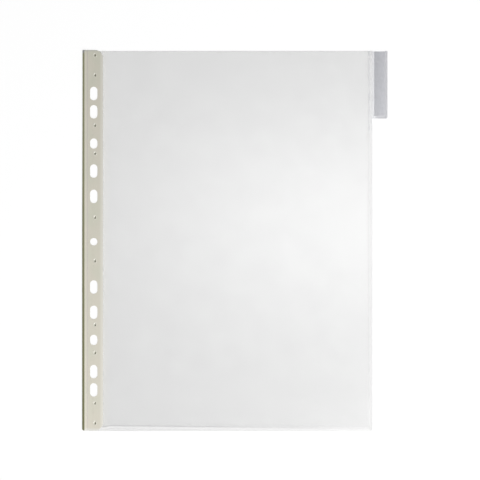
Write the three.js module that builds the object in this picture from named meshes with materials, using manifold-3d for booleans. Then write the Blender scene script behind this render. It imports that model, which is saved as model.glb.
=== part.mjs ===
// Document display panel lying on its back: a clear pocket of two welded films, which turns about a
// crease beside a folded and punched binding strip, with an index tab and its label on the far edge.
// Millimetres. X runs from the binding strip to the tab, Y up the page, Z up from the table.
import * as THREE from 'three';
import { mergeVertices } from 'three/addons/utils/BufferGeometryUtils.js';
import Module from 'manifold-3d';

// Pocket: two films, welded on three sides and open at the top
const POCKET_LENGTH = 307.8;
const POCKET_WIDTH = 215; // crease to the pocket's right edge
const POCKET_CORNER_RADIUS = 1.8;
const FILM = 0.2;
const POCKET_GAP = 0.3; // room between the films, which the seams fill

// Fused seams of the pocket
const INNER_SEAM_WIDTH = 2;
const SIDE_SEAM_WIDTH = 2;
const BOTTOM_SEAM_WIDTH = 4;

// Binding strip: one sheet folded over along the panel's left edge
const STRIP_TOP_REACH = 0.8; // pocket's mouth up to the strip's top end
const STRIP_BOTTOM_RISE = 0.4; // pocket's bottom edge up to the strip's bottom end
const STRIP_WIDTH = 16.8;
const STRIP_WALL = 0.5;
const STRIP_CORNER_RADIUS = 6.5;

// Hollow bead that the fold leaves along the strip's outer edge
const BEAD_HEIGHT = 2.6;
const BEAD_CREST = 2.1; // outer edge to crest
const BEAD_WIDTH = 4.4; // outer edge to the flat of the front leaf

// Film margins between the strip's leaves, and the crease that they end in
const MARGIN_INSET = 0.8; // bead's foot to the margin's hidden edge
const CREASE_REACH = 3.2; // strip's right edge to the crease
const CREASE_CLEARANCE = 0.15; // either side of the crease
const FOLD_LIMIT = 150; // degrees that the pocket turns each way

// Ring holes: one round hole in the middle, and five pairs of slots above and below it
const RING_HOLE_X = 9.4; // strip's outer edge to the hole line
const RING_HOLE_WIDTH = 6;
const LONG_SLOT = 10.9;
const SHORT_SLOT = 8.3;
const RING_CENTRE_DROP = 1.2; // strip's mid-length down to the middle hole
const FIRST_PAIR = 36.7; // middle hole to each slot of the pair
const SECOND_PAIR = 57.2;
const THIRD_PAIR = 79.5;
const FOURTH_PAIR = 105.2;
const FIFTH_PAIR = 120;

// Weld studs: five pairs of staked points in the room that the ring holes leave
const STUD_X = 10.3; // strip's outer edge to the stud line
const STUD_CENTRE_RISE = 1.1; // strip's mid-length up to the middle of the stud pattern
const STUD_OUTWARD_SHIFT = 0.4; // middle of the room between two ring holes out to the stud
const LAST_STUD_INSET = 5.1; // strip's end in to the last stud, before the pattern's rise
const NEXT_STUD_SHARE = 0.2376; // of the way from the last ring hole to the last stud
const STUD_SHANK_RADIUS = 0.7;
const STUD_HOLE_CLEARANCE = 0.3;
const STUD_FOOT_CLEARANCE = 0.1; // the shank ends this far inside the back leaf's face
const STUD_HEAD_RADIUS = 1.5;
const STUD_RIM_RADIUS = 1.05;
const STUD_RIM_HEIGHT = 0.34; // front leaf to the top of the head's raised rim
const STUD_SHOULDER_RADIUS = 1.3;
const STUD_SHOULDER_HEIGHT = 0.24;
const STUD_PIT_RADIUS = 0.45;
const STUD_PIT_HEIGHT = 0.04; // front leaf to the bottom of the pit

// Index tab: two clear walls that straddle the pocket's right edge
const TAB_WALL = 0.35;
const TAB_REACH = 12.2; // pocket's right edge to the tab's outer edge
const TAB_LENGTH = 54.8;
const TAB_CORNER_RADIUS = 1.6;
const TAB_FLANGE_WIDTH = 3.6; // overlap on the pocket's films
const TAB_TAIL_LENGTH = 10; // flange below the tab
const TAB_TAIL_OVERHANG = 2.2; // width of the tail's fillet outside the pocket's edge
const TAB_TAIL_CORNER = 1.2;
const TAB_ROOT_SEAM_WIDTH = 1.5;
const TAB_SIDE_SEAM_WIDTH = 2.1;
const TAB_BOTTOM_SEAM_WIDTH = 2;

// Label card in the tab
const LABEL_THICKNESS = 0.3;
const LABEL_CLEARANCE = 0.2; // to the seams on its left, right and bottom
const LABEL_TOP_DROP = 0.4; // tab's mouth down to the card

const BEND_SEGMENTS = 8; // along each curve of the bead
const SLOT_SEGMENTS = 10; // in each round end of a ring hole
const CORNER_SEGMENTS = 8; // in each round corner
const STUD_HOLE_SEGMENTS = 6; // in each half turn
const STUD_SEGMENTS = 16; // in a full turn
const CUT_MARGIN = 1; // cutters reach this far past the faces they cut
const WELD_TOLERANCE = 1e-4; // corners closer than this are one corner

// Heights of the stack, from the table up
const stackHeight = 2 * STRIP_WALL + 2 * FILM;
const midHeight = stackHeight / 2;
const backFilmLow = midHeight - POCKET_GAP / 2 - FILM;
const frontFilmLow = midHeight + POCKET_GAP / 2;
const frontFilmHigh = frontFilmLow + FILM;
const tabBackLow = backFilmLow - TAB_WALL;

// Lengths up the page, from the strip's bottom end
const stripLength = STRIP_TOP_REACH + POCKET_LENGTH - STRIP_BOTTOM_RISE;
const pocketTop = stripLength - STRIP_TOP_REACH;
const pocketBottom = -STRIP_BOTTOM_RISE;
const tabBottom = pocketTop - TAB_LENGTH;

// Widths across the page, from the strip's outer edge
const creaseX = STRIP_WIDTH + CREASE_REACH;
const innerSeamRight = creaseX + INNER_SEAM_WIDTH;
const pocketRight = creaseX + POCKET_WIDTH;
const sideSeamLeft = pocketRight - SIDE_SEAM_WIDTH;
const flangeLeft = pocketRight - TAB_FLANGE_WIDTH;
const rootSeamRight = pocketRight + TAB_ROOT_SEAM_WIDTH;
const tabRight = pocketRight + TAB_REACH;
const tabSeamLeft = tabRight - TAB_SIDE_SEAM_WIDTH;

const wasm = await Module();
wasm.setup();

function solidFrom(geometry) {
  const bare = geometry.index ? geometry.toNonIndexed() : geometry.clone();
  bare.deleteAttribute('normal');
  bare.deleteAttribute('uv');
  const merged = mergeVertices(bare, WELD_TOLERANCE);
  return new wasm.Manifold(new wasm.Mesh({
    numProp: 3,
    vertProperties: new Float32Array(merged.attributes.position.array),
    triVerts: new Uint32Array(merged.index.array),
  }));
}

function geometryFrom(solid) {
  const mesh = solid.getMesh();
  const geometry = new THREE.BufferGeometry();
  geometry.setAttribute('position', new THREE.Float32BufferAttribute(mesh.vertProperties, 3));
  geometry.setIndex(Array.from(mesh.triVerts));
  geometry.computeVertexNormals();
  return geometry;
}

function plasticMesh(name, geometry, look) {
  const mesh = new THREE.Mesh(geometry, new THREE.MeshStandardMaterial({ ...look, metalness: 0 }));
  mesh.name = name;
  return mesh;
}

// A plate with the given outline on the page, between two heights. An arc is drawn in twice as many
// steps as curveSegments says, so that is half of the number wanted.
function plate(outline, low, high, arcSegments = CORNER_SEGMENTS) {
  const geometry = new THREE.ExtrudeGeometry(outline, {
    depth: high - low,
    bevelEnabled: false,
    curveSegments: arcSegments / 2,
  });
  return geometry.translate(0, 0, low);
}

// A bar whose section is drawn across the page and up, between two places up the page
function bar(section, bottom, top) {
  const geometry = new THREE.ExtrudeGeometry(section, { depth: top - bottom, bevelEnabled: false });
  geometry.rotateX(Math.PI / 2);
  return geometry.translate(0, top, 0);
}

function rectangle(left, bottom, right, top) {
  return new THREE.Shape([
    new THREE.Vector2(left, bottom),
    new THREE.Vector2(right, bottom),
    new THREE.Vector2(right, top),
    new THREE.Vector2(left, top),
  ]);
}

// A rectangle whose right-hand corners are round where a radius is given
function roundedRight(left, bottom, right, top, bottomRadius, topRadius) {
  const outline = new THREE.Shape();
  outline.moveTo(left, bottom);
  outline.lineTo(right - bottomRadius, bottom);
  if (bottomRadius > 0) {
    outline.absarc(right - bottomRadius, bottom + bottomRadius, bottomRadius, -Math.PI / 2, 0, false);
  }
  outline.lineTo(right, top - topRadius);
  if (topRadius > 0) {
    outline.absarc(right - topRadius, top - topRadius, topRadius, 0, Math.PI / 2, false);
  }
  outline.lineTo(left, top);
  outline.closePath();
  return outline;
}

// A slot with round ends that runs up the page, or a round hole where length equals width
function slotOutline(x, y, width, length) {
  const radius = width / 2;
  const straight = (length - width) / 2;
  const outline = new THREE.Shape();
  outline.absarc(x, y + straight, radius, 0, Math.PI, false);
  outline.absarc(x, y - straight, radius, Math.PI, 2 * Math.PI, false);
  outline.closePath();
  return outline;
}

// The section of a sheet of even thickness, whose middle follows lines and curves that join smoothly
function sheetSection(curves, thickness) {
  const leftSide = [];
  const rightSide = [];
  curves.forEach((curve, index) => {
    const steps = curve.isLineCurve ? 1 : BEND_SEGMENTS;
    for (let step = index === 0 ? 0 : 1; step <= steps; step += 1) {
      const place = curve.getPoint(step / steps);
      const along = curve.getTangent(step / steps);
      const across = new THREE.Vector2(-along.y, along.x).multiplyScalar(thickness / 2);
      leftSide.push(place.clone().add(across));
      rightSide.push(place.clone().sub(across));
    }
  });
  return new THREE.Shape([...rightSide, ...leftSide.reverse()]);
}

// How far a sheet's end is cut back from the crease at a height above or below it
function creaseRelief(height) {
  return CREASE_CLEARANCE + height * Math.tan(THREE.MathUtils.degToRad(FOLD_LIMIT / 2));
}

// Ring holes: how far each one of a pair lies from the middle hole, and how long it is
const middleHole = { offset: 0, length: RING_HOLE_WIDTH };
const firstPair = { offset: FIRST_PAIR, length: LONG_SLOT };
const secondPair = { offset: SECOND_PAIR, length: LONG_SLOT };
const thirdPair = { offset: THIRD_PAIR, length: SHORT_SLOT };
const fourthPair = { offset: FOURTH_PAIR, length: LONG_SLOT };
const fifthPair = { offset: FIFTH_PAIR, length: LONG_SLOT };
const ringPairs = [firstPair, secondPair, thirdPair, fourthPair, fifthPair];

// The inner studs lie between neighbouring ring holes, and the outer ones past the last ring hole.
// Both patterns are even about a middle of their own, so the last hole and studs are nearer below.
function studBetween(inner, outer) {
  const middle = (inner.offset + inner.length / 2 + outer.offset - outer.length / 2) / 2;
  return middle + STUD_OUTWARD_SHIFT;
}
const patternShift = STUD_CENTRE_RISE + RING_CENTRE_DROP;
const lastHoleEnd = fifthPair.offset + fifthPair.length / 2 + patternShift;
const lastStud = stripLength / 2 - LAST_STUD_INSET;
const studOffsets = [
  studBetween(middleHole, firstPair),
  studBetween(secondPair, thirdPair),
  studBetween(thirdPair, fourthPair),
  lastHoleEnd + NEXT_STUD_SHARE * (lastStud - lastHoleEnd),
  lastStud,
];

const ringCentre = stripLength / 2 - RING_CENTRE_DROP;
const studCentre = stripLength / 2 + STUD_CENTRE_RISE;
const studPlaces = studOffsets.flatMap((offset) => [studCentre + offset, studCentre - offset]);
studPlaces.sort((first, second) => second - first);

const cutLow = Math.min(0, tabBackLow) - CUT_MARGIN;
const cutHigh = Math.max(BEAD_HEIGHT, stackHeight) + CUT_MARGIN;
const studHoleRadius = STUD_SHANK_RADIUS + STUD_HOLE_CLEARANCE;

// The ring holes and stud holes go through the strip's leaves and the film margins alike
function punch(solid) {
  const middle = slotOutline(RING_HOLE_X, ringCentre, RING_HOLE_WIDTH, middleHole.length);
  let punched = solid.subtract(solidFrom(plate(middle, cutLow, cutHigh, SLOT_SEGMENTS)));
  for (const { offset, length } of ringPairs) {
    for (const y of [ringCentre - offset, ringCentre + offset]) {
      const slot = slotOutline(RING_HOLE_X, y, RING_HOLE_WIDTH, length);
      punched = punched.subtract(solidFrom(plate(slot, cutLow, cutHigh, SLOT_SEGMENTS)));
    }
  }
  for (const y of studPlaces) {
    const hole = slotOutline(STUD_X, y, 2 * studHoleRadius, 2 * studHoleRadius);
    punched = punched.subtract(solidFrom(plate(hole, cutLow, cutHigh, STUD_HOLE_SEGMENTS)));
  }
  return punched;
}

// Binding strip: back leaf, bead, then front leaf, followed along the middle of the sheet
function bindingStrip() {
  const half = STRIP_WALL / 2;
  const backLeaf = half;
  const frontLeaf = stackHeight - half;
  const crest = BEAD_HEIGHT - half;
  const shoulder = (BEAD_WIDTH + BEAD_CREST) / 2;
  const backEdge = new THREE.Vector2(STRIP_WIDTH, backLeaf);
  const beadFoot = new THREE.Vector2(BEAD_CREST, backLeaf);
  const beadTop = new THREE.Vector2(BEAD_CREST, crest);
  const frontFoot = new THREE.Vector2(BEAD_WIDTH, frontLeaf);
  const frontEdge = new THREE.Vector2(STRIP_WIDTH, frontLeaf);
  const middle = [
    new THREE.LineCurve(backEdge, beadFoot),
    new THREE.EllipseCurve(
      BEAD_CREST, BEAD_HEIGHT / 2, BEAD_CREST - half, BEAD_HEIGHT / 2 - half,
      -Math.PI / 2, Math.PI / 2, true,
    ),
    new THREE.CubicBezierCurve(
      beadTop, new THREE.Vector2(shoulder, crest), new THREE.Vector2(shoulder, frontLeaf), frontFoot,
    ),
    new THREE.LineCurve(frontFoot, frontEdge),
  ];
  const folded = solidFrom(bar(sheetSection(middle, STRIP_WALL), 0, stripLength));
  const outline = roundedRight(
    -CUT_MARGIN, 0, STRIP_WIDTH, stripLength, STRIP_CORNER_RADIUS, STRIP_CORNER_RADIUS,
  );
  return geometryFrom(punch(folded.intersect(solidFrom(plate(outline, cutLow, cutHigh)))));
}

// A film margin lies on one side of the middle height and ends in a slant at the crease
function filmMargin(side) {
  const left = BEAD_WIDTH + MARGIN_INSET;
  const outer = midHeight + side * FILM;
  const section = new THREE.Shape([
    new THREE.Vector2(left, midHeight),
    new THREE.Vector2(creaseX - creaseRelief(0), midHeight),
    new THREE.Vector2(creaseX - creaseRelief(FILM), outer),
    new THREE.Vector2(left, outer),
  ]);
  return geometryFrom(punch(solidFrom(bar(section, pocketBottom, pocketTop))));
}

function pocketOutline(left) {
  return roundedRight(left, pocketBottom, pocketRight, pocketTop, POCKET_CORNER_RADIUS, 0);
}

// A pocket film is flat, with a slant at the crease and one round corner at the bottom right
function pocketFilm(side) {
  const inner = POCKET_GAP / 2;
  const outer = POCKET_GAP / 2 + FILM;
  const section = new THREE.Shape([
    new THREE.Vector2(creaseX + creaseRelief(inner), midHeight + side * inner),
    new THREE.Vector2(pocketRight, midHeight + side * inner),
    new THREE.Vector2(pocketRight, midHeight + side * outer),
    new THREE.Vector2(creaseX + creaseRelief(outer), midHeight + side * outer),
  ]);
  const sheet = solidFrom(bar(section, pocketBottom, pocketTop));
  const outline = pocketOutline(creaseX - CUT_MARGIN);
  return geometryFrom(sheet.intersect(solidFrom(plate(outline, cutLow, cutHigh))));
}

// The seams fill the room between the films on three sides; the mouth at the top stays open
function innerSeam() {
  const half = POCKET_GAP / 2;
  const section = new THREE.Shape([
    new THREE.Vector2(creaseX + creaseRelief(0), midHeight),
    new THREE.Vector2(creaseX + creaseRelief(half), midHeight - half),
    new THREE.Vector2(innerSeamRight, midHeight - half),
    new THREE.Vector2(innerSeamRight, midHeight + half),
    new THREE.Vector2(creaseX + creaseRelief(half), midHeight + half),
  ]);
  return bar(section, pocketBottom, pocketTop);
}

function sideSeam() {
  return plate(pocketOutline(sideSeamLeft), midHeight - POCKET_GAP / 2, frontFilmLow);
}

function bottomSeam() {
  const outline = rectangle(innerSeamRight, pocketBottom, sideSeamLeft, pocketBottom + BOTTOM_SEAM_WIDTH);
  return plate(outline, midHeight - POCKET_GAP / 2, frontFilmLow);
}

// A weld stud: a shank through all the layers, and a head with a raised rim around a pit
function weldStud() {
  const foot = STUD_FOOT_CLEARANCE;
  const pitFloor = stackHeight + STUD_PIT_HEIGHT;
  const profile = [
    new THREE.Vector2(0, foot),
    new THREE.Vector2(STUD_SHANK_RADIUS, foot),
    new THREE.Vector2(STUD_SHANK_RADIUS, stackHeight),
    new THREE.Vector2(STUD_HEAD_RADIUS, stackHeight),
    new THREE.Vector2(STUD_SHOULDER_RADIUS, stackHeight + STUD_SHOULDER_HEIGHT),
    new THREE.Vector2(STUD_RIM_RADIUS, stackHeight + STUD_RIM_HEIGHT),
    new THREE.Vector2(STUD_PIT_RADIUS, pitFloor),
    new THREE.Vector2(0, pitFloor),
  ];
  return new THREE.LatheGeometry(profile, STUD_SEGMENTS).rotateX(Math.PI / 2);
}

// A tab wall: the tab itself, its flange on the film, and a tail that fairs into the pocket's edge
function tabWall(low) {
  const tailBottom = tabBottom - TAB_TAIL_LENGTH;
  const tailRight = pocketRight + TAB_TAIL_OVERHANG;
  const outline = new THREE.Shape();
  outline.moveTo(flangeLeft, pocketTop);
  outline.lineTo(flangeLeft, tailBottom + TAB_TAIL_CORNER);
  outline.quadraticCurveTo(flangeLeft, tailBottom, flangeLeft + TAB_TAIL_CORNER, tailBottom);
  outline.lineTo(pocketRight, tailBottom);
  outline.quadraticCurveTo(pocketRight, tabBottom, tailRight, tabBottom);
  outline.lineTo(tabRight - TAB_CORNER_RADIUS, tabBottom);
  outline.absarc(
    tabRight - TAB_CORNER_RADIUS, tabBottom + TAB_CORNER_RADIUS, TAB_CORNER_RADIUS,
    -Math.PI / 2, 0, false,
  );
  outline.lineTo(tabRight, pocketTop);
  outline.closePath();
  return plate(outline, low, low + TAB_WALL);
}

function tabSideSeam() {
  const outline = roundedRight(tabSeamLeft, tabBottom, tabRight, pocketTop, TAB_CORNER_RADIUS, 0);
  return plate(outline, backFilmLow, frontFilmHigh);
}

function tabRootSeam() {
  return plate(rectangle(pocketRight, tabBottom, rootSeamRight, pocketTop), backFilmLow, frontFilmHigh);
}

function tabBottomSeam() {
  const top = tabBottom + TAB_BOTTOM_SEAM_WIDTH;
  return plate(rectangle(rootSeamRight, tabBottom, tabSeamLeft, top), backFilmLow, frontFilmHigh);
}

function tabLabel() {
  const outline = rectangle(
    rootSeamRight + LABEL_CLEARANCE,
    tabBottom + TAB_BOTTOM_SEAM_WIDTH + LABEL_CLEARANCE,
    tabSeamLeft - LABEL_CLEARANCE,
    pocketTop - LABEL_TOP_DROP,
  );
  return plate(outline, backFilmLow, backFilmLow + LABEL_THICKNESS);
}

const creamPlastic = { color: 0xc9c5b8, roughness: 0.5 };
const fusedCream = { color: 0xbdb9a8, roughness: 0.42 };
const clearFilm = { color: 0xe6e7e8, roughness: 0.25, transparent: true, opacity: 0.45 };
const fusedFilm = { color: 0xdcdddd, roughness: 0.35, transparent: true, opacity: 0.6 };
const clearTab = { color: 0xe3e4e8, roughness: 0.2, transparent: true, opacity: 0.4 };
const greyCard = { color: 0xbcbcc1, roughness: 0.75 };

const panel = new THREE.Group();
panel.add(plasticMesh('binding_strip', bindingStrip(), creamPlastic));
panel.add(plasticMesh('back_film_margin', filmMargin(-1), clearFilm));
panel.add(plasticMesh('front_film_margin', filmMargin(1), clearFilm));
studPlaces.forEach((y, index) => {
  const name = `weld_stud_${String(index + 1).padStart(2, '0')}`;
  const stud = plasticMesh(name, weldStud(), fusedCream);
  stud.position.set(STUD_X, y, 0);
  panel.add(stud);
});
panel.add(plasticMesh('back_film', pocketFilm(-1), clearFilm));
panel.add(plasticMesh('front_film', pocketFilm(1), clearFilm));
panel.add(plasticMesh('inner_seam', innerSeam(), fusedFilm));
panel.add(plasticMesh('side_seam', sideSeam(), fusedFilm));
panel.add(plasticMesh('bottom_seam', bottomSeam(), fusedFilm));
panel.add(plasticMesh('tab_back_wall', tabWall(tabBackLow), clearTab));
panel.add(plasticMesh('tab_front_wall', tabWall(frontFilmHigh), clearTab));
panel.add(plasticMesh('tab_root_seam', tabRootSeam(), fusedFilm));
panel.add(plasticMesh('tab_side_seam', tabSideSeam(), fusedFilm));
panel.add(plasticMesh('tab_bottom_seam', tabBottomSeam(), fusedFilm));
panel.add(plasticMesh('tab_label', tabLabel(), greyCard));

// The origin is the middle of the whole panel, at table height
const lowest = Math.min(0, tabBackLow);
const middleOfLength = (Math.min(0, pocketBottom) + Math.max(stripLength, pocketTop)) / 2;
panel.position.set(-tabRight / 2, -middleOfLength, -lowest);

export default panel;
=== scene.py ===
"""A document display panel lying on its back on a pale floor.

Sizes are millimetres on the panel's own page until a mesh is finished: x from the binding strip's
outer edge to the tab, y up from the strip's bottom end, z up from the table.
"""

import math

import bmesh
import bpy
import numpy as np
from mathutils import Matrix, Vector, noise


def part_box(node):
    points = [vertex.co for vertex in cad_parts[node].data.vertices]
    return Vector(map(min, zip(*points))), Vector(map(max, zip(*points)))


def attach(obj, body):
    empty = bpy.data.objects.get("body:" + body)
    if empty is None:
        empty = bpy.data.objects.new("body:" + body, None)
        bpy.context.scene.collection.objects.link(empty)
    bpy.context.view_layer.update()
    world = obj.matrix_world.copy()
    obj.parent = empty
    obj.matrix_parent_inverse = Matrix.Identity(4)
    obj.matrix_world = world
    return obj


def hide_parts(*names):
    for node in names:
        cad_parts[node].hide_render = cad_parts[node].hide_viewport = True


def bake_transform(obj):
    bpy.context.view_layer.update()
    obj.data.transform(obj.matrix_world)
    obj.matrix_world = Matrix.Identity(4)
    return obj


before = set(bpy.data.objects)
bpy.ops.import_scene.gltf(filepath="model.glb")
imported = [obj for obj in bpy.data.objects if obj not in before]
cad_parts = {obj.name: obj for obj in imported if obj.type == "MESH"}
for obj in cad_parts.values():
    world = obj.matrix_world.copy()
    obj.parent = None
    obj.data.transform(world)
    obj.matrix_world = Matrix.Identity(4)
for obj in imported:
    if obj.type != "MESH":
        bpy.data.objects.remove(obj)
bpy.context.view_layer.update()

# The two films of the pocket: each is one clear, slightly hazy polypropylene sheet that runs from inside
# the binding strip across the crease to the far edge. A hot bar welds the pair at the crease, down the
# far side and along the bottom, and leaves cloudy lines there.
MILLIMETRES = 1000  # in a metre
page_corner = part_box("binding_strip")[0]


def on_page(node):
    """A solid's lowest and highest corners in page millimetres."""
    return [(corner - page_corner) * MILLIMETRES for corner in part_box(node)]


def in_room(x, y, z):
    """A point of the page as a point of the room, in metres."""
    return page_corner + Vector((x, y, z)) / MILLIMETRES


def ease(value, low, high):
    """0 below low, 1 above high, and a smooth rise between them."""
    share = min(max((value - low) / (high - low), 0), 1)
    return share * share * (3 - 2 * share)


def arc(centre_x, centre_y, radius, start, end, steps):
    """Points along an arc, its angles in degrees."""
    angles = [math.radians(start + (end - start) * step / steps) for step in range(steps + 1)]
    return [(centre_x + radius * math.cos(a), centre_y + radius * math.sin(a)) for a in angles]


def rounded_rectangle(left, bottom, right, top, radii, steps=8):
    """Points round a rectangle from its bottom left corner, with a radius at each corner or 0."""
    corners = [
        (left, bottom, 1, 1, 180),
        (right, bottom, -1, 1, 270),
        (right, top, -1, -1, 0),
        (left, top, 1, -1, 90),
    ]
    points = []
    for (x, y, inward_x, inward_y, start), radius in zip(corners, radii):
        if radius > 0:
            points += arc(x + inward_x * radius, y + inward_y * radius, radius, start, start + 90, steps)
        else:
            points.append((x, y))
    return points


def slot_hole(x, y, width, length, steps=12):
    """Points round an upright slot, clockwise, so that its material is on the left."""
    straight = (length - width) / 2
    return arc(x, y + straight, width / 2, 180, 0, steps) + arc(x, y - straight, width / 2, 0, -180, steps)


def moved_inward(points, distance):
    """An outline moved into the material on its left by the same distance all round."""
    moved = []
    for before, point, after in zip(points[-1:] + points[:-1], points, points[1:] + points[:1]):
        arriving = Vector(point) - Vector(before)
        leaving = Vector(after) - Vector(point)
        first = Vector((-arriving.y, arriving.x)).normalized()
        second = Vector((-leaving.y, leaving.x)).normalized()
        moved.append(Vector(point) + (first + second) * distance / (1 + first.dot(second)))
    return moved


EDGE_STEPS = 3  # facets in each rounded edge of a sheet
SPLIT_TOLERANCE = 1e-5  # corners this close to a line count as on it
SHARP_ANGLE = 40  # degrees past which two faces meet in a sharp edge


def cut_sheet(outline, holes, thickness, edge_radius, lines_across, lines_along):
    """A flat closed sheet with rounded edges, its middle at height 0, and edge loops on given lines."""
    flat = thickness / 2 - edge_radius
    rim = []
    for step in range(EDGE_STEPS + 1):
        angle = math.pi / 2 * (1 - step / EDGE_STEPS)
        rim.append((edge_radius * (1 - math.cos(angle)), -flat - edge_radius * math.sin(angle)))
    rim += [(inset, -height) for inset, height in reversed(rim)]
    sheet = bmesh.new()
    lower_edges, upper_edges = [], []
    for loop in [outline, *holes]:
        rows = []
        for inset, height in rim:
            rows.append([sheet.verts.new((*point, height)) for point in moved_inward(loop, inset)])
        for row, next_row in zip(rows, rows[1:]):
            for i in range(len(loop)):
                sheet.faces.new((row[i - 1], row[i], next_row[i], next_row[i - 1]))
        lower_edges += [sheet.edges.get((rows[0][i - 1], rows[0][i])) for i in range(len(loop))]
        upper_edges += [sheet.edges.get((rows[-1][i - 1], rows[-1][i])) for i in range(len(loop))]
    for edges in (lower_edges, upper_edges):
        bmesh.ops.triangle_fill(sheet, use_beauty=True, edges=edges)
        for edge in edges:
            edge.smooth = False
    bmesh.ops.recalc_face_normals(sheet, faces=sheet.faces)
    for axis, lines in (((1, 0, 0), lines_across), ((0, 1, 0), lines_along)):
        for line in lines:
            everything = sheet.verts[:] + sheet.edges[:] + sheet.faces[:]
            bmesh.ops.bisect_plane(
                sheet, geom=everything, plane_co=Vector(axis) * line, plane_no=axis, dist=SPLIT_TOLERANCE
            )
    return sheet


def piece_from(name, shape, finish):
    """An object from a bmesh drawn on the page. Each corner keeps its place there for the finish."""
    for edge in shape.edges:
        if edge.is_manifold and edge.calc_face_angle(0) > math.radians(SHARP_ANGLE):
            edge.smooth = False
    for face in shape.faces:
        face.smooth = True
    mesh = bpy.data.meshes.new(name)
    shape.to_mesh(mesh)
    shape.free()
    place = np.zeros(len(mesh.vertices) * 3, np.float32)
    mesh.vertices.foreach_get("co", place)
    mesh.attributes.new("page_place", "FLOAT_VECTOR", "POINT").data.foreach_set("vector", place)
    room = place.reshape(-1, 3) / MILLIMETRES + np.array(page_corner, np.float32)
    mesh.vertices.foreach_set("co", room.ravel())
    mesh.materials.append(finish)
    piece = bpy.data.objects.new(name, mesh)
    bpy.context.scene.collection.objects.link(piece)
    return piece


class Value:
    """A number, colour or shader that varies over a surface. Arithmetic on it adds Math nodes."""

    def __init__(self, finish, socket):
        self.finish = finish
        self.socket = socket

    def math(self, operation, first, second):
        return self.finish.node("Math", {"operation": operation}, {0: first, 1: second})

    def __add__(self, other):
        return self.math("ADD", self, other)

    __radd__ = __add__

    def __sub__(self, other):
        return self.math("SUBTRACT", self, other)

    def __rsub__(self, other):
        return self.math("SUBTRACT", other, self)

    def __mul__(self, other):
        return self.math("MULTIPLY", self, other)

    __rmul__ = __mul__

    def __pow__(self, other):
        return self.math("POWER", self, other)


class Finish:
    """The node tree of one material, or of the room round the panel."""

    def __init__(self, owner):
        owner.use_nodes = True
        self.owner = owner
        self.tree = owner.node_tree
        self.tree.nodes.clear()

    def node(self, kind, settings, sockets, output=0):
        made = self.tree.nodes.new("ShaderNode" + kind)
        for name, value in settings.items():
            setattr(made, name, value)
        for name, value in sockets.items():
            if isinstance(value, Value):
                self.tree.links.new(value.socket, made.inputs[name])
            else:
                made.inputs[name].default_value = value
        return Value(self, made.outputs[output])

    def page(self):
        """The surface's place on the page in millimetres: the vector, then its x, y and z."""
        place = self.node("Attribute", {"attribute_name": "page_place"}, {}, "Vector")
        return place, *[self.node("SeparateXYZ", {}, {"Vector": place}, axis) for axis in "XYZ"]

    def grain(self, place, scale, detail=2.0, stretch=(1, 1, 1)):
        """Soft noise from 0 to 1, its scale in features to a millimetre."""
        stretched = self.node("VectorMath", {"operation": "MULTIPLY"}, {0: place, 1: stretch})
        return self.node("TexNoise", {}, {"Vector": stretched, "Scale": scale, "Detail": detail})

    def rise(self, value, low, high):
        """0 below low, 1 above high, and a smooth rise between them."""
        settings = {"interpolation_type": "SMOOTHSTEP"}
        return self.node("MapRange", settings, {"Value": value, "From Min": low, "From Max": high})

    def ridge(self, value, middle, half_width):
        """1 on a line, falling to 0 at half_width on either side of it."""
        climb = self.rise(value, middle - half_width, middle)
        return climb * (1 - self.rise(value, middle, middle + half_width))

    def mix(self, factor, first, second):
        return self.node("Mix", {"data_type": "RGBA"}, {0: factor, 6: first, 7: second}, 2)

    def bump(self, height, distance, strength):
        sockets = {"Height": height, "Distance": distance, "Strength": strength}
        return self.node("Bump", {}, sockets)

    def to_surface(self, shader):
        output = "OutputWorld" if isinstance(self.owner, bpy.types.World) else "OutputMaterial"
        self.node_end(output, shader)
        return self.owner

    def node_end(self, kind, shader):
        made = self.tree.nodes.new("ShaderNode" + kind)
        self.tree.links.new(shader.socket, made.inputs["Surface"])


def grey(level, tint=(1, 1, 1)):
    return (level * tint[0], level * tint[1], level * tint[2], 1)


front_film = on_page("front_film")
back_film = on_page("back_film")
margin = on_page("front_film_margin")
inner_seam = on_page("inner_seam")
bottom_seam = on_page("bottom_seam")
side_seam = on_page("side_seam")

FILM_THICKNESS = 0.2
FILM_EDGE_RADIUS = 0.05
POCKET_CORNER_RADIUS = 1.8
MOUTH_CORNER_RADIUS = 0.3
CREASE_CLEARANCE = 0.15  # crease to the inner seam's edge on its right
mid_height = (front_film[1].z + back_film[0].z) / 2
pocket_left, pocket_right = margin[0].x, front_film[1].x
pocket_bottom, pocket_top = front_film[0].y, front_film[1].y
crease_x = inner_seam[0].x - CREASE_CLEARANCE

WELD_GAP = 0.002  # from the middle of the pair to each film's face, where they are welded
WELD_SPREAD = FILM_THICKNESS / 2 + WELD_GAP  # and to the middle of each film
pocket_spread = (front_film[1].z - back_film[0].z) / 2 - FILM_THICKNESS / 2
WELD_STEP = 2.0  # the films draw together over this width at the edge of a weld
BAR_SLOPE = 0.011  # the bottom weld narrows towards the far side, by this much in each millimetre
CREASE_WELD = 1.6  # the films are welded this far past the crease
CREASE_OPEN = 6.0  # and have drawn fully apart here
weld_top = bottom_seam[1].y
weld_left = side_seam[0].x

RIPPLE_HEIGHT = 0.03
RIPPLE_LENGTH = 70
RIPPLE_START = 3  # the ripples begin this far past the crease
RIPPLE_FADE = 25  # and reach their full height this far from the crease and the welds
RIPPLE_SINK = 0.6  # the films mostly ripple towards one another


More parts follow.
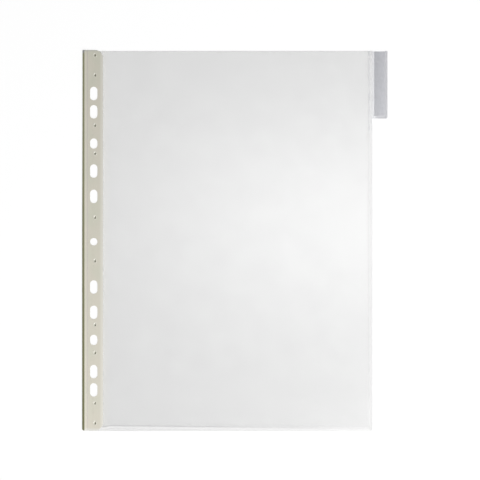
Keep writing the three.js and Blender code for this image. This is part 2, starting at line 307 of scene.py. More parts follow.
def film_height(x, y, side):
    """Height of the middle of the front film (side 1) or back film (side -1)."""
    opened = ease(x, crease_x + CREASE_WELD, crease_x + CREASE_OPEN)
    bar_y = y + (x - 2 * crease_x) * BAR_SLOPE
    pressed = max(1 - ease(bar_y, weld_top, weld_top + WELD_STEP), ease(x, weld_left - WELD_STEP, weld_left))
    spread = WELD_SPREAD + (pocket_spread - WELD_SPREAD) * opened * (1 - pressed)
    free = ease(x, crease_x + RIPPLE_START, crease_x + RIPPLE_FADE)
    free *= ease(y, weld_top, weld_top + RIPPLE_FADE)
    free *= 1 - ease(x, weld_left - RIPPLE_FADE, weld_left)
    ripple = noise.noise(Vector((x / RIPPLE_LENGTH, y / RIPPLE_LENGTH, side))) - RIPPLE_SINK
    return mid_height + side * (spread + RIPPLE_HEIGHT * free * ripple)


RING_LINE = 9.4
RING_WIDTH = 6
LONG_SLOT, SHORT_SLOT = 10.9, 8.3
RING_PAIRS = [(36.7, LONG_SLOT), (57.2, LONG_SLOT), (79.5, SHORT_SLOT), (105.2, LONG_SLOT), (120, LONG_SLOT)]
RING_CENTRE_DROP = 1.2
strip_high = on_page("binding_strip")[1]
ring_centre = strip_high.y / 2 - RING_CENTRE_DROP
ring_holes = [(ring_centre, RING_WIDTH)]
for offset, length in RING_PAIRS:
    ring_holes += [(ring_centre - offset, length), (ring_centre + offset, length)]

STUD_HOLE_WIDTH = 2
STUD_HOLE_STEPS = 6
stud_names = [f"weld_stud_{number:02d}" for number in range(1, 11)]
stud_places = []
for stud_name in stud_names:
    low, high = on_page(stud_name)
    stud_places.append(((low.x + high.x) / 2, (low.y + high.y) / 2))

FILM_GRID = 12
GRID_MARGIN = 2  # the wide grid stops this far short of a weld's step or the mouth
FOLD_REACH = 1.4  # the films bend over this width on either side of the crease
FOLD_START, FOLD_END = crease_x - FOLD_REACH, crease_x + FOLD_REACH
FOLD_STEPS = 14
OPENING_STEPS = 6
WELD_STEPS = 5
film_columns = list(np.linspace(FOLD_START, FOLD_END, FOLD_STEPS + 1))
film_columns += list(np.linspace(FOLD_END, crease_x + CREASE_OPEN, OPENING_STEPS + 1)[1:])
grid_right = weld_left - WELD_STEP - GRID_MARGIN
film_columns += list(np.arange(crease_x + CREASE_OPEN + FILM_GRID, grid_right, FILM_GRID))
film_columns += list(np.linspace(weld_left - WELD_STEP, weld_left, WELD_STEPS + 1))
film_rows = list(np.linspace(weld_top - WELD_STEP, weld_top + WELD_STEP, 2 * WELD_STEPS + 1))
film_rows += list(np.arange(weld_top + WELD_STEP + FILM_GRID, pocket_top - GRID_MARGIN, FILM_GRID))

FILM_COLOUR = grey(0.30)
FILM_WARM_COLOUR = grey(0.34, (1.0, 0.98, 0.88))
FILM_LINE_COLOUR = grey(0.28)
FILM_ALPHA = 0.131
WELD_ALPHA = 0.085  # a weld lets more light through than the two films beside it
LINE_ALPHA = 0.05  # what a cloudy line adds
FILM_GLOSS = 0.035
FILM_EDGE_GLOSS = 0.12
FACING_BLEND = 0.5
FACING_POWER = 4  # how late the extra gloss of a slanting view sets in
FILM_ROUGHNESS = 0.28
FILM_IOR = 1.49
FILM_BUMP = (0.0004, 0.15)
HAZE_GRAIN = (0.05, 3.0)
HAZE_ALPHA = 0.02
SCUFF_GRAIN = (1.2, 4.0, (1, 0.12, 1))
SCUFF_ROUGHNESS = 0.02
BAR_LINES = ((3.9, 0.7, 0.8), (1.2, 0.5, 0.6), (-0.2, 0.5, 0.7))  # place up the page, half width, strength
BAR_TURN = 1.0  # the welding bar's lines dip this much before they reach the strip
BAR_TURN_REACH = 3  # the dip is done over this width on either side of the crease
BAR_FADE = (75, 170)  # and they fade towards the far side
BAR_FADE_SHARE = 0.9
WELD_EDGE_BLUR = 0.9
CORNER_FADE = (90, 215)  # towards the far corner the weld gives way to a gradual clearing of the films
CORNER_FADE_DEPTH = (0.5, 5.0)
CORNER_CLEARING = 0.8
SIDE_WELD = 1.17  # the side weld is clearer than the bottom one by this factor
SIDE_WELD_BLUR = 0.4
SIDE_WELD_DULL = 0.8  # and it has lost this much of the films' gloss
STEP_DULL = 0.8  # so has the step where the films draw together along the bottom
MOUTH_LINE_WIDTH = 2.0
MOUTH_LINE_INSET = 0.2
MOUTH_LINE_STRENGTH = 0.3
CREASE_BAND = (-1, 3.5)  # the films look warmer from here to here beside the crease

clear_film = Finish(bpy.data.materials.new("clear_film"))
place, page_x, page_y, _ = clear_film.page()
haze = clear_film.grain(place, *HAZE_GRAIN)
scuffs = clear_film.grain(place, *SCUFF_GRAIN)
bar_dip = 1 - clear_film.rise(page_x, crease_x - BAR_TURN_REACH, crease_x + BAR_TURN_REACH)
bar_y = page_y + BAR_TURN * bar_dip + (page_x - 2 * crease_x) * BAR_SLOPE
mouth_line = clear_film.rise(page_y, pocket_top - MOUTH_LINE_WIDTH, pocket_top - MOUTH_LINE_INSET)
lines = mouth_line * MOUTH_LINE_STRENGTH
bar_strength = 1 - clear_film.rise(page_x, *BAR_FADE) * BAR_FADE_SHARE
for line_y, half_width, strength in BAR_LINES:
    lines = lines + clear_film.ridge(bar_y, line_y, half_width) * bar_strength * strength
far_end = clear_film.rise(page_x, *CORNER_FADE)
bottom_weld = (1 - clear_film.rise(bar_y, weld_top - WELD_EDGE_BLUR, weld_top)) * (1 - far_end)
bottom_weld = bottom_weld + (1 - clear_film.rise(page_y, *CORNER_FADE_DEPTH)) * far_end * CORNER_CLEARING
side_weld = clear_film.rise(page_x, weld_left - SIDE_WELD_BLUR, weld_left + SIDE_WELD_BLUR)
weld = clear_film.node("Math", {"operation": "MAXIMUM"}, {0: bottom_weld, 1: side_weld * SIDE_WELD})
crease_band = 1 - clear_film.rise(page_x, *[crease_x + reach for reach in CREASE_BAND])
film_colour = clear_film.mix(crease_band, FILM_COLOUR, FILM_WARM_COLOUR)
film_colour = clear_film.mix(lines, film_colour, FILM_LINE_COLOUR)
film_alpha = FILM_ALPHA + (haze - 0.5) * HAZE_ALPHA - weld * (FILM_ALPHA - WELD_ALPHA) + lines * LINE_ALPHA
film_roughness = FILM_ROUGHNESS + (scuffs - 0.5) * SCUFF_ROUGHNESS
film_body = clear_film.node(
    "BsdfPrincipled",
    {},
    {
        "Base Color": film_colour,
        "Roughness": film_roughness,
        "Alpha": film_alpha,
        "IOR": FILM_IOR,
        "Normal": clear_film.bump(haze, *FILM_BUMP),
    },
)
film_gloss = clear_film.node(
    "BsdfPrincipled", {}, {"Base Color": grey(1.0), "Metallic": 1.0, "Roughness": film_roughness}
)
facing = clear_film.node("LayerWeight", {}, {"Blend": FACING_BLEND}, "Facing")
bottom_step = clear_film.ridge(bar_y, weld_top + WELD_STEP / 2, WELD_STEP)
dull = (1 - side_weld * SIDE_WELD_DULL) * (1 - bottom_step * STEP_DULL)
film_shine = (FILM_GLOSS + FILM_EDGE_GLOSS * facing**FACING_POWER) * dull
clear_film.to_surface(clear_film.node("MixShader", {}, {0: film_shine, 1: film_body, 2: film_gloss}))

for name, side in (("back_film_sheet", -1), ("front_film_sheet", 1)):
    corner_radii = (0, POCKET_CORNER_RADIUS, MOUTH_CORNER_RADIUS, 0)
    outline = rounded_rectangle(pocket_left, pocket_bottom, pocket_right, pocket_top, corner_radii)
    holes = [slot_hole(RING_LINE, y, RING_WIDTH, length) for y, length in ring_holes]
    holes += [slot_hole(x, y, STUD_HOLE_WIDTH, STUD_HOLE_WIDTH, STUD_HOLE_STEPS) for x, y in stud_places]
    film = cut_sheet(outline, holes, FILM_THICKNESS, FILM_EDGE_RADIUS, film_columns, film_rows)
    for corner in film.verts:
        corner.co.z += film_height(corner.co.x, corner.co.y, side)
    sheet = piece_from(name, film, clear_film.owner)
    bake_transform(sheet)
    if side > 0:
        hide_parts("front_film", "front_film_margin")
    else:
        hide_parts("back_film", "back_film_margin", "inner_seam", "side_seam", "bottom_seam")

# The binding strip: one cream polypropylene sheet folded over the films' edge. The fold is left open as
# a hollow bead, and ring holes are punched through both leaves, so it is drawn flat and then folded.
STRIP_WALL = 0.5
STRIP_EDGE_RADIUS = 0.12
STRIP_CORNER_RADIUS = 6.5
FOOT_GROOVE = 0.07  # the front leaf dips along the bead's foot
FOOT_GROOVE_REACH = 0.9
BEAD_CREST = 2.1
BEAD_WIDTH = 4.4
BEAD_END_RADIUS = 1.5  # the bead's outer corner is melted round at its two ends
BEAD_END_DROP = 0.35
BEAD_END_DROP_FULL = 0.5  # the drop is full this near the outer edge
BEAD_END_ANGLES = (20, 35, 50, 65, 80, 90)  # where the melted ends get rows of corners
TOP_END_SHARE = 0.3  # the top end is melted less than the bottom one
FOLD_LEAN = 0.28  # the fold is not quite straight and leans in towards its top end
FOLD_LEAN_INSET = 20  # and its lean is full this far below that end
STUD_DISH_SIZE = (2.4, 3.2)  # the front leaf's hole under a stud's dish
BEAD_STEPS = 28
FOOT_STEPS = 14
strip_width = strip_high.x
bead_height = strip_high.z
leaf_middle = STRIP_WALL / 2
front_middle = 2 * mid_height - leaf_middle
bead_reach = BEAD_CREST - leaf_middle
bead_rise = bead_height / 2 - leaf_middle
crest_middle = bead_height - leaf_middle
shoulder = (BEAD_WIDTH + BEAD_CREST) / 2

section = [(strip_width, leaf_middle)]
for step in range(BEAD_STEPS + 1):
    angle = math.radians(-90 - 180 * step / BEAD_STEPS)
    section.append((BEAD_CREST + bead_reach * math.cos(angle), bead_height / 2 + bead_rise * math.sin(angle)))
for step in range(1, FOOT_STEPS + 1):
    t = step / FOOT_STEPS
    pull_x = BEAD_CREST * (1 - t) ** 3 + 3 * shoulder * t * (1 - t) + BEAD_WIDTH * t**3
    share = t * t * (3 - 2 * t)
    section.append((pull_x, crest_middle + (front_middle - crest_middle) * share))
section.append((strip_width, front_middle))
section = np.array(section)
lengths = np.concatenate([[0], np.cumsum(np.hypot(*np.diff(section, axis=0).T))])
sheet_width = lengths[-1]
tangents = np.gradient(section, lengths, axis=0)
tangents[:2] = (-1, 0)
tangents[-2:] = (1, 0)
tangents /= np.hypot(*tangents.T)[:, None]


def folded(along, y, across):
    """Where a point of the flat strip sheet lies once the sheet is folded."""
    x, z = (np.interp(along, lengths, section[:, axis]) for axis in (0, 1))
    run, climb = (np.interp(along, lengths, tangents[:, axis]) for axis in (0, 1))
    x, z = x - climb * across, z + run * across
    z -= FOOT_GROOVE * max(1 - abs(x - BEAD_WIDTH) / FOOT_GROOVE_REACH, 0) * ease(z, mid_height, front_middle)
    from_end = min(y, strip_high.y - y)
    radius = BEAD_END_RADIUS if y < strip_high.y / 2 else BEAD_END_RADIUS * TOP_END_SHARE
    near = max(radius - from_end, 0) / radius
    melted = radius * (1 - math.sqrt(1 - near * near))
    share = max(1 - x / BEAD_WIDTH, 0)
    drop = BEAD_END_DROP * near * near * ease(z, mid_height, crest_middle)
    lean = FOLD_LEAN * ease(y, strip_high.y / 2, strip_high.y - FOLD_LEAN_INSET)
    return x + (melted + lean) * share, y, z - drop * ease(x, strip_width / 2, BEAD_END_DROP_FULL)


back_ring_line = strip_width - RING_LINE
front_ring_line = sheet_width - back_ring_line
holes = []
for y, length in ring_holes:
    holes += [slot_hole(x, y, RING_WIDTH, length) for x in (back_ring_line, front_ring_line)]
for x, y in stud_places:
    from_edge = strip_width - x
    holes.append(slot_hole(from_edge, y, STUD_HOLE_WIDTH, STUD_HOLE_WIDTH, STUD_HOLE_STEPS))
    holes.append(slot_hole(sheet_width - from_edge, y, *STUD_DISH_SIZE))
outline = rounded_rectangle(0, 0, sheet_width, strip_high.y, (STRIP_CORNER_RADIUS,) * 4)
end_rows = [BEAD_END_RADIUS * (1 - math.cos(math.radians(angle))) for angle in BEAD_END_ANGLES]
end_rows += [strip_high.y - row * TOP_END_SHARE for row in end_rows]
strip_sheet = cut_sheet(outline, holes, STRIP_WALL, STRIP_EDGE_RADIUS, list(lengths[1:-1]), end_rows)
for corner in strip_sheet.verts:
    corner.co = folded(corner.co.x, corner.co.y, -corner.co.z)

CREAM = (0.598, 0.566, 0.480, 1)
CREAM_PALE = (0.654, 0.630, 0.546, 1)
CREAM_GREEN = (0.553, 0.553, 0.455, 1)
FOLD_SHADE_OLIVE = (0.150, 0.153, 0.060, 1)
FOLD_SHADE_OLIVE_PALE = (0.250, 0.250, 0.140, 1)
CREAM_EDGE_HIGHLIGHT = (0.725, 0.712, 0.655, 1)
FOOT_SHADE_MAUVE = (0.480, 0.440, 0.420, 1)
END_SHADE_GREY = (0.470, 0.470, 0.460, 1)
END_PAINTED_LIGHT = (0.680, 0.680, 0.650, 1)
FOLD_END_SHADE_GREY = (0.310, 0.310, 0.315, 1)
STRIP_ROUGHNESS = 0.52
STRIP_IOR = 1.49
STRIP_BUMP = (0.00003, 0.35)
CLOUD_GRAIN = (0.045, 2.0)
STREAK_GRAIN = (1.1, 3.0, (1, 0.03, 1))
PEBBLE_GRAIN = (5.0, 2.0)
GREEN_CLOUDS = (0.42, 0.72)  # the clouds turn green over this part of their range
STREAK_SHARE = 0.5
STREAK_ROUGHNESS = 0.15
OUTER_EDGE_BAND, OUTER_EDGE_SHARE = (3.2, 0.4), 0.6
FOOT_SHADE_INSET, FOOT_SHADE_REACH, FOOT_SHADE_SHARE = 0.2, 0.9, 0.7
TOP_END_BAND, TOP_END_SHADE = (1.6, 0.4), 0.5
BOTTOM_END_BAND, BOTTOM_END_LIGHT = (0.6, 2.6), 0.6
FOLD_END_SHADE_BAND = (4, 1)
FOLD_SHADE_BAND = (1.2, 2.4)

cream_plastic = Finish(bpy.data.materials.new("cream_plastic"))
place, page_x, page_y, _ = cream_plastic.page()
cloud = cream_plastic.grain(place, *CLOUD_GRAIN)
streaks = cream_plastic.grain(place, *STREAK_GRAIN)
pebble = cream_plastic.grain(place, *PEBBLE_GRAIN)
strip_colour = cream_plastic.mix(cream_plastic.rise(cloud, *GREEN_CLOUDS), CREAM, CREAM_GREEN)
strip_colour = cream_plastic.mix(streaks * STREAK_SHARE, strip_colour, CREAM_PALE)
# painted highlight: the strip turns paler towards its outer edge, where light catches the translucent edge
outer_edge_highlight = cream_plastic.rise(page_x, *[strip_width - inset for inset in OUTER_EDGE_BAND])
strip_colour = cream_plastic.mix(outer_edge_highlight * OUTER_EDGE_SHARE, strip_colour, CREAM_EDGE_HIGHLIGHT)
# painted shade: a darker mauve band along the bead's foot, where the concave corner is shaded
foot = cream_plastic.ridge(page_x, BEAD_WIDTH - FOOT_SHADE_INSET, FOOT_SHADE_REACH)
strip_colour = cream_plastic.mix(foot * FOOT_SHADE_SHARE, strip_colour, FOOT_SHADE_MAUVE)
# painted shade: the strip's top end, farther from the light, is darkened towards grey
top_end_painted_shade = cream_plastic.rise(page_y, *[strip_high.y - inset for inset in TOP_END_BAND])
strip_colour = cream_plastic.mix(top_end_painted_shade * TOP_END_SHADE, strip_colour, END_SHADE_GREY)
# painted light: the strip's bottom end, nearest the light, is made paler
bottom_end_painted_light = 1 - cream_plastic.rise(page_y, *BOTTOM_END_BAND)
strip_colour = cream_plastic.mix(bottom_end_painted_light * BOTTOM_END_LIGHT, strip_colour, END_PAINTED_LIGHT)
# painted shade: the bead's outer side, turned away from the light, is painted dark olive, darkest at the
# bottom, paler towards the top and grey at the top end
fold_shade_colour = cream_plastic.mix(cream_plastic.rise(page_y, 0, strip_high.y), FOLD_SHADE_OLIVE, FOLD_SHADE_OLIVE_PALE)
fold_top_shade = cream_plastic.rise(page_y, *[strip_high.y - inset for inset in FOLD_END_SHADE_BAND])
fold_shade_colour = cream_plastic.mix(fold_top_shade, fold_shade_colour, FOLD_END_SHADE_GREY)
fold_side_shade = 1 - cream_plastic.rise(page_x, *FOLD_SHADE_BAND)
strip_colour = cream_plastic.mix(fold_side_shade, strip_colour, fold_shade_colour)
cream_plastic.to_surface(
    cream_plastic.node(
        "BsdfPrincipled",
        {},
        {
            "Base Color": strip_colour,
            "Roughness": STRIP_ROUGHNESS + (streaks - 0.5) * STREAK_ROUGHNESS,
            "IOR": STRIP_IOR,
            "Normal": cream_plastic.bump(pebble + streaks, *STRIP_BUMP),
        },
    )
)
binding_strip = piece_from("binding_strip_fold", strip_sheet, cream_plastic.owner)
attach(binding_strip, "strip")
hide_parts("binding_strip")

# The weld studs: ten points where a hot pin has melted the strip and the films into one another. The pin
# comes in on a slant and leaves a low lip of fused plastic round a lopsided dish, no two quite alike.
STUD_STEPS = 32
STUD_FOOT = 0.1
SHANK_RADIUS = 0.97
NECK_RADIUS, NECK_DEPTH = 1.15, 0.46  # where the stud widens inside the front leaf
NECK_SLOPE = 0.05  # height over which it widens
NECK_UNEVENNESS = 0.4
STUD_SPREAD = 1.5  # middle to the thin edge of the melted lip
LIP_UNDERCUT = 0.04
LIP_RADIUS = 1.15
LIP_HEIGHT = 0.12
LIP_ANGLES = (15, 40, 65, 90)
DISH_STEPS = 8
DISH_SMOOTHING = 0.6  # share of the lip's unevenness that is gone at the bottom of the dish
PIT_RADIUS = 0.28
PIT_DEPTH = 0.60
PIT_ROUND_SHARE = 0.5  # the pit's floor is rounded with one more ring, this much narrower
PIT_ROUND_DEPTHS = (0.03, 0.04)  # how much deeper that ring and the middle are
PIN_SLANT = (0.34, -0.50)  # from the lip's middle to the deepest point
STUD_STRETCH = 1.35  # the dish is longer up the page than across it
STRETCH_GAIN = 2.5  # the neck and the dish are stretched in full, the shank not at all
WOBBLE_SCALE = 0.8
WOBBLE_STRIDE = 3.7  # in the noise, from one stud to the next
WOBBLE_CLIMB = 0.5
WOBBLE_LAYER = 5
REACH_WOBBLE = 0.25
LIFT_WOBBLE = 0.05
LOW_SIDE_SHARE = 0.6  # the lip is lower on the side away from the dish's deepest point
# the fused cream is paler than the strip, partly as a painted highlight on the lip and the dish's lit wall;
# the dark colour is painted shade in the pit and also mottles the melt
FUSED_CREAM_AND_HIGHLIGHT = (0.68, 0.665, 0.58, 1)
FUSED_DARK_AND_PIT_SHADE = (0.17, 0.17, 0.11, 1)
PIT_SHADE_DEPTHS = (0.45, 0.10)  # the colour darkens between these depths
PIT_SHADE_SHARE = 0.85
MELT_GRAIN = (1.6, 3.0)
MELT_SHARE = 0.08
FUSED_ROUGHNESS = 0.2
FUSED_IOR = 1.49
FUSED_BUMP = (0.0001, 0.15)
front_leaf = 2 * mid_height

fused_cream = Finish(bpy.data.materials.new("fused_cream_plastic"))
place, _, _, page_z = fused_cream.page()
melt = fused_cream.grain(place, *MELT_GRAIN)
# painted shade: the colour darkens deeper down the dish, standing in for the shade in the pit
pit_shade = 1 - fused_cream.rise(page_z, *[front_leaf - depth for depth in PIT_SHADE_DEPTHS])
fused_cream.to_surface(
    fused_cream.node(
        "BsdfPrincipled",
        {},
        {
            "Base Color": fused_cream.mix(pit_shade * PIT_SHADE_SHARE + melt * MELT_SHARE, FUSED_CREAM_AND_HIGHLIGHT, FUSED_DARK_AND_PIT_SHADE),
            "Roughness": FUSED_ROUGHNESS + melt * MELT_SHARE,
            "IOR": FUSED_IOR,
            "Normal": fused_cream.bump(melt, *FUSED_BUMP),
        },
    )
)

# from the foot up the shank and the neck, out under the lip, over it and down the dish: distance from
# the middle, height, share of the lip's unevenness, and share of the pin's slant
stud_rows = [
    (SHANK_RADIUS, STUD_FOOT, 0, 0),
    (SHANK_RADIUS, front_leaf - NECK_DEPTH - NECK_SLOPE, 0, 0),
    (NECK_RADIUS, front_leaf - NECK_DEPTH, NECK_UNEVENNESS, 0),
    (NECK_RADIUS, front_leaf - LIP_UNDERCUT, NECK_UNEVENNESS, 0),
    (STUD_SPREAD, front_leaf - LIP_UNDERCUT, NECK_UNEVENNESS, 0),
]
for turn in LIP_ANGLES:
    outward, upward = math.cos(math.radians(turn)), math.sin(math.radians(turn))
    reach = LIP_RADIUS + (STUD_SPREAD - LIP_RADIUS) * outward
    stud_rows.append((reach, front_leaf + LIP_HEIGHT * upward, 1, 0))
for share in np.linspace(0, 1, DISH_STEPS + 1)[1:]:
    reach = LIP_RADIUS + (PIT_RADIUS - LIP_RADIUS) * share
    height = front_leaf + LIP_HEIGHT - (LIP_HEIGHT + PIT_DEPTH) * share
    stud_rows.append((reach, height, 1 - share * DISH_SMOOTHING, share))
ring_drop, middle_drop = PIT_ROUND_DEPTHS
stud_rows.append((PIT_RADIUS * PIT_ROUND_SHARE, front_leaf - PIT_DEPTH - ring_drop, 1 - DISH_SMOOTHING, 1))

for number, (stud_name, (stud_x, stud_y)) in enumerate(zip(stud_names, stud_places)):
    stud = bmesh.new()
    previous = [stud.verts.new((stud_x, stud_y, STUD_FOOT))]
    for radius, height, uneven, slant in stud_rows:
        ring = []
        stretch = 1 + (STUD_STRETCH - 1) * min(uneven * STRETCH_GAIN, 1)
        for step in range(STUD_STEPS):
            angle = 2 * math.pi * step / STUD_STEPS
            turn = Vector((math.cos(angle), math.sin(angle), 0))
            wobble_place = Vector((number * WOBBLE_STRIDE, height * WOBBLE_CLIMB, WOBBLE_LAYER))
            wobble = noise.noise(turn * WOBBLE_SCALE + wobble_place)
            reach = radius * (1 + REACH_WOBBLE * uneven * wobble)
            low_side = -turn.dot(Vector((*PIN_SLANT, 0)).normalized())
            lift = uneven * LIFT_WOBBLE * (wobble - LOW_SIDE_SHARE * low_side)
            x = stud_x + reach * turn.x + slant * PIN_SLANT[0]
            y = stud_y + reach * turn.y * stretch + slant * PIN_SLANT[1]
            ring.append(stud.verts.new((x, y, height + lift)))
        for step in range(STUD_STEPS):
            before, after = (previous[(step - 1) % len(previous)], previous[step % len(previous)])
            stud.faces.new(dict.fromkeys((before, after, ring[step], ring[step - 1])))
        previous = ring
    pit_floor = front_leaf - PIT_DEPTH - middle_drop
    pit = stud.verts.new((stud_x + PIN_SLANT[0], stud_y + PIN_SLANT[1], pit_floor))
    for step in range(STUD_STEPS):
        stud.faces.new((previous[step - 1], previous[step], pit))
    bmesh.ops.recalc_face_normals(stud, faces=stud.faces)
    melted_stud = piece_from(stud_name.replace("stud", "pip"), stud, fused_cream.owner)
    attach(melted_stud, "strip")
    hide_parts(stud_name)

# The index tab: two clear rigid walls that clasp the pocket's far edge at the top corner, with a flange
# and a rounded tail on each. They are welded to one another down both sides and along the bottom.
tab_wall = on_page("tab_front_wall")
tab_back = on_page("tab_back_wall")
tab_root = on_page("tab_root_seam")
tab_floor = on_page("tab_bottom_seam")
TAB_WALL_THICKNESS = 0.35
TAB_EDGE_RADIUS = 0.05
TAB_CORNER_RADIUS = 1.6
TAB_TAIL_LENGTH = 10
TAB_TAIL_OVERHANG = 2.2
TAB_TAIL_CORNER = 1.2
TAB_CORNER_STEPS = 8
CURVE_STEPS = 10
tab_left, tab_right = tab_wall[0].x, tab_wall[1].x
tab_bottom, tab_top = tab_floor[0].y, tab_wall[1].y


def bowed(start, pull, end, steps=CURVE_STEPS):
    """Points along a curve that leaves start and arrives at end heading for one point."""
    shares = [step / steps for step in range(steps + 1)]
    start, pull, end = Vector(start), Vector(pull), Vector(end)
    return [tuple(start * (1 - t) ** 2 + pull * 2 * t * (1 - t) + end * t * t) for t in shares]


tail_bottom = tab_bottom - TAB_TAIL_LENGTH
tail_start = (tab_left, tail_bottom + TAB_TAIL_CORNER)
tail_corner_end = (tab_left + TAB_TAIL_CORNER, tail_bottom)
tab_outline = bowed(tail_start, (tab_left, tail_bottom), tail_corner_end)
fillet_end = (pocket_right + TAB_TAIL_OVERHANG, tab_bottom)
tab_outline += bowed((pocket_right, tail_bottom), (pocket_right, tab_bottom), fillet_end)
corner_x, corner_y = tab_right - TAB_CORNER_RADIUS, tab_bottom + TAB_CORNER_RADIUS
tab_outline += arc(corner_x, corner_y, TAB_CORNER_RADIUS, -90, 0, TAB_CORNER_STEPS)
tab_outline += [(tab_right, tab_top), (tab_left, tab_top)]

TAB_COLOUR = (0.62, 0.66, 0.72, 1)
TAB_COLOUR_PALE = (0.70, 0.72, 0.76, 1)
TAB_ALPHA = 0.05
TAB_FLOW_ALPHA = 0.02
TAB_ROUGHNESS = 0.22
TAB_FLOW_ROUGHNESS = 0.1
TAB_IOR = 1.5
TAB_GLOSS = 0.04
TAB_EDGE_GLOSS = 0.1
FLOW_GRAIN = (0.25, 2.0)

clear_tab = Finish(bpy.data.materials.new("clear_tab_plastic"))
place, *_ = clear_tab.page()
flow = clear_tab.grain(place, *FLOW_GRAIN)
tab_roughness = TAB_ROUGHNESS + flow * TAB_FLOW_ROUGHNESS
clear_tab_body = clear_tab.node(
    "BsdfPrincipled",
    {},
    {
        "Base Color": clear_tab.mix(flow, TAB_COLOUR, TAB_COLOUR_PALE),
        "Roughness": tab_roughness,
        "Alpha": TAB_ALPHA + flow * TAB_FLOW_ALPHA,
        "IOR": TAB_IOR,
    },
)
clear_tab_gloss = clear_tab.node(
    "BsdfPrincipled", {}, {"Base Color": grey(1.0), "Metallic": 1.0, "Roughness": tab_roughness}
)
facing = clear_tab.node("LayerWeight", {}, {"Blend": FACING_BLEND}, "Facing")
tab_shine = TAB_GLOSS + TAB_EDGE_GLOSS * facing**FACING_POWER
clear_tab.to_surface(clear_tab.node("MixShader", {}, {0: tab_shine, 1: clear_tab_body, 2: clear_tab_gloss}))

for name, solid in (("tab_back_wall", tab_back), ("tab_front_wall", tab_wall)):
    wall = cut_sheet(tab_outline, [], TAB_WALL_THICKNESS, TAB_EDGE_RADIUS, [], [])
    for corner in wall.verts:
        corner.co.z += (solid[0].z + solid[1].z) / 2
    tab_piece = piece_from(name.replace("wall", "shell"), wall, clear_tab.owner)
    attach(tab_piece, "pocket")
    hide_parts(name)

SEAM_COLOUR = (0.53, 0.53, 0.565, 1)
SEAM_COLOUR_DARK = (0.48, 0.48, 0.52, 1)
ROOT_SEAM_COLOUR = (0.71, 0.72, 0.75, 1)
SEAM_MELT = {"Scale": 900.0, "Detail": 3.0}  # the seams stay solids, with their places in metres
ROOT_SEAM_FADE = 3  # the root seam's finish gives way to the other seams' over this width
SEAM_ALPHA, FAR_SEAM_ALPHA, SEAM_MELT_ALPHA = 0.34, 0.28, 0.1
SEAM_ROUGHNESS, SEAM_MELT_ROUGHNESS = 0.3, 0.1

fused_tab = Finish(bpy.data.materials.new("fused_tab_plastic"))
place = fused_tab.node("TexCoord", {}, {}, "Object")
melt = fused_tab.node("TexNoise", {}, {"Vector": place, **SEAM_MELT})
across = fused_tab.node("SeparateXYZ", {}, {"Vector": place}, "X")
fade_start, fade_end = (in_room(tab_root[1].x + width, 0, 0).x for width in (0, ROOT_SEAM_FADE))
far_side = fused_tab.rise(across, fade_start, fade_end)
seam_colour = fused_tab.mix(melt, SEAM_COLOUR, SEAM_COLOUR_DARK)
fused_tab.to_surface(
    fused_tab.node(
        "BsdfPrincipled",
        {},
        {
            "Base Color": fused_tab.mix(far_side, ROOT_SEAM_COLOUR, seam_colour),
            "Roughness": SEAM_ROUGHNESS + melt * SEAM_MELT_ROUGHNESS,
            "Alpha": SEAM_ALPHA + far_side * FAR_SEAM_ALPHA + melt * SEAM_MELT_ALPHA,
            "IOR": TAB_IOR,
        },
    )
)
for name in ("tab_root_seam", "tab_side_seam", "tab_bottom_seam"):
    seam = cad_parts[name]
    seam.data.materials.clear()
    seam.data.materials.append(fused_tab.owner)

# The label: a loose slip of grey card that slides into the tab from the top, where its cut edge shows.
# Its face is plain, with the fine fibres of uncoated board; painted shade darkens it along its left edge, in
# the tab's shade, and painted light makes it paler towards the right.
label = on_page("tab_label")
LABEL_EDGE_RADIUS = 0.08
LABEL_CORNER_RADIUS = 0.25
LABEL_CORNER_STEPS = 3
LABEL_PLAY = 0.15  # the slip fits the tab this much more closely on each side than its solid does
LABEL_SHADE_WIDTH = 1
LABEL_SHADE = (0.306, 0.310, 0.332, 1)
LABEL_COLOUR = (0.370, 0.374, 0.398, 1)
LABEL_FIBRE = (0.343, 0.346, 0.370, 1)
LABEL_MOTTLE_AND_LIGHT = (0.480, 0.480, 0.518, 1)
LABEL_LIGHT_SHARE, MOTTLE_SHARE = 0.6, 0.1
LABEL_ROUGHNESS, FIBRE_ROUGHNESS = 0.8, 0.1
LABEL_BUMP = (0.00004, 0.4)
FIBRE_GRAIN = (3.0, 5.0, (1, 0.4, 1))
MOTTLE_GRAIN = (0.3, 2.0)

label_card = Finish(bpy.data.materials.new("label_card"))
place, page_x, _, _ = label_card.page()
fibres = label_card.grain(place, *FIBRE_GRAIN)
mottle = label_card.grain(place, *MOTTLE_GRAIN)
card_colour = label_card.mix(fibres, LABEL_COLOUR, LABEL_FIBRE)
shade_end = label[0].x + LABEL_SHADE_WIDTH
# painted light towards the right, mixed with a random mottle; painted shade along the left edge
painted_light_right = label_card.rise(page_x, shade_end, label[1].x)
card_colour = label_card.mix(painted_light_right * LABEL_LIGHT_SHARE + mottle * MOTTLE_SHARE, card_colour, LABEL_MOTTLE_AND_LIGHT)
card_colour = label_card.mix(label_card.rise(page_x, label[0].x, shade_end), LABEL_SHADE, card_colour)
label_card.to_surface(
    label_card.node(
        "BsdfPrincipled",
        {},
        {
            "Base Color": card_colour,
            "Roughness": LABEL_ROUGHNESS + (fibres - 0.5) * FIBRE_ROUGHNESS,
            "Normal": label_card.bump(fibres, *LABEL_BUMP),
        },
    )
)
label_left, label_right = label[0].x - LABEL_PLAY, label[1].x + LABEL_PLAY
corner_radii = (LABEL_CORNER_RADIUS,) * 4
outline = rounded_rectangle(
    label_left, label[0].y, label_right, label[1].y, corner_radii, LABEL_CORNER_STEPS
)
card = cut_sheet(outline, [], label[1].z - label[0].z, LABEL_EDGE_RADIUS, [], [])
for corner in card.verts:
    corner.co.z += (label[0].z + label[1].z) / 2
card_piece = piece_from("label_slip", card, label_card.owner)
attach(card_piece, "label")
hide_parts("tab_label")

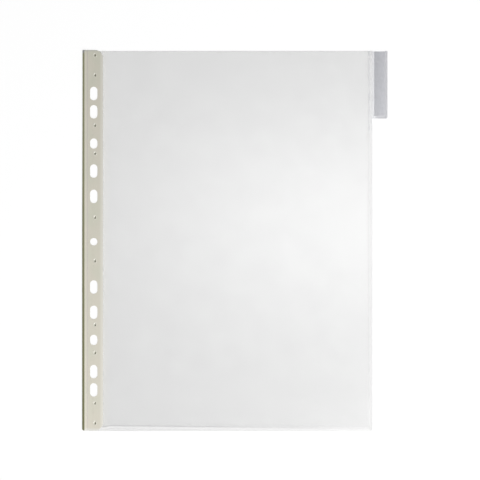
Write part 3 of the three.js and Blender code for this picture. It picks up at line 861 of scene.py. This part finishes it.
# The floor, light and camera: two soft boxes hang to the panel's right and lower right in an even white
# room, and the camera looks straight down. The floor lets most of the camera's own rays through to the
# white room, so that the pocket still shows where it is turned down below the floor.
floor_mesh = bpy.data.meshes.new("floor")
FLOOR_HALF = 4
floor_corners = [(x * FLOOR_HALF, y * FLOOR_HALF, 0) for x, y in ((-1, -1), (1, -1), (1, 1), (-1, 1))]
floor_mesh.from_pydata(floor_corners, [], [(0, 1, 2, 3)])
floor = bpy.data.objects.new("floor", floor_mesh)
bpy.context.scene.collection.objects.link(floor)
FLOOR_COLOUR = grey(0.85)
WHITE_STRENGTH = 1.04
FLOOR_GLOW_SHARE = 0.88


def seen_rays(finish):
    """1 for a ray that the camera, a gloss or a clear piece sends out, and 0 for light on its way."""
    kinds = ("Camera", "Glossy", "Transmission")
    camera_ray, glossy_ray, clear_ray = (finish.node("LightPath", {}, {}, f"Is {kind} Ray") for kind in kinds)
    return finish.node("Math", {"operation": "MINIMUM"}, {0: camera_ray + glossy_ray + clear_ray, 1: 1.0})


pale_floor = Finish(bpy.data.materials.new("pale_floor"))
paper_white = pale_floor.node("BsdfDiffuse", {}, {"Color": FLOOR_COLOUR})
glow = pale_floor.node("Emission", {}, {"Color": grey(1.0), "Strength": WHITE_STRENGTH})
clear = pale_floor.node("BsdfTransparent", {}, {"Color": grey(1.0)})
depth = pale_floor.node("LightPath", {}, {}, "Transparent Depth")
straight = pale_floor.node("LightPath", {}, {}, "Is Camera Ray") * (1 - pale_floor.rise(depth, 0, 1))
white = pale_floor.node("MixShader", {}, {0: straight, 1: glow, 2: clear})
share = seen_rays(pale_floor) * FLOOR_GLOW_SHARE
upper_side = pale_floor.node("MixShader", {}, {0: share, 1: paper_white, 2: white})
underneath = pale_floor.node("NewGeometry", {}, {}, "Backfacing")
pale_floor.to_surface(pale_floor.node("MixShader", {}, {0: underneath, 1: upper_side, 2: clear}))
floor_mesh.materials.append(pale_floor.owner)

ROOM_LIGHT = 0.36
room = bpy.data.worlds.new("room")
bpy.context.scene.world = room
white_room = Finish(room)
seen = seen_rays(white_room)
lit = white_room.node("Background", {}, {"Color": grey(1.0), "Strength": ROOM_LIGHT})
shown = white_room.node("Background", {}, {"Color": grey(1.0), "Strength": WHITE_STRENGTH})
white_room.to_surface(white_room.node("MixShader", {}, {0: seen, 1: lit, 2: shown}))


def soft_box(name, place, aim, size, watts):
    light = bpy.data.lights.new(name, "AREA")
    light.shape = "ELLIPSE"
    light.size, light.size_y = size
    light.energy = watts
    lamp = bpy.data.objects.new(name, light)
    lamp.location = place
    lamp.rotation_euler = (Vector(aim) - Vector(place)).to_track_quat("-Z", "Y").to_euler()
    bpy.context.scene.collection.objects.link(lamp)


OVERHEAD_PLACE, OVERHEAD_AIM = (0.20, 0.025, 1.2), (0.20, 0.025, 0)
OVERHEAD_SIZE, OVERHEAD_WATTS = (0.6, 0.06), 1.60
LOW_PLACE, LOW_AIM = (0.26, -0.38, 0.56), (0, 0, 0)
LOW_SIZE, LOW_WATTS = (0.28, 0.28), 4.1
soft_box("overhead_soft_box", OVERHEAD_PLACE, OVERHEAD_AIM, OVERHEAD_SIZE, OVERHEAD_WATTS)
soft_box("low_soft_box", LOW_PLACE, LOW_AIM, LOW_SIZE, LOW_WATTS)

CAMERA_X, CAMERA_Y = 0.0042, 0.0004
CAMERA_HEIGHT = 3
PHOTO_WIDTH = 0.3888  # metres that the photograph's width covers at the table
SENSOR_WIDTH = 36  # millimetres
camera_data = bpy.data.cameras.new("camera")
camera_data.sensor_width = SENSOR_WIDTH
camera_data.lens = SENSOR_WIDTH * CAMERA_HEIGHT / PHOTO_WIDTH
camera = bpy.data.objects.new("camera", camera_data)
camera.location = (CAMERA_X, CAMERA_Y, CAMERA_HEIGHT)
bpy.context.scene.collection.objects.link(camera)
bpy.context.scene.camera = camera
bpy.context.scene.view_settings.view_transform = "Standard"
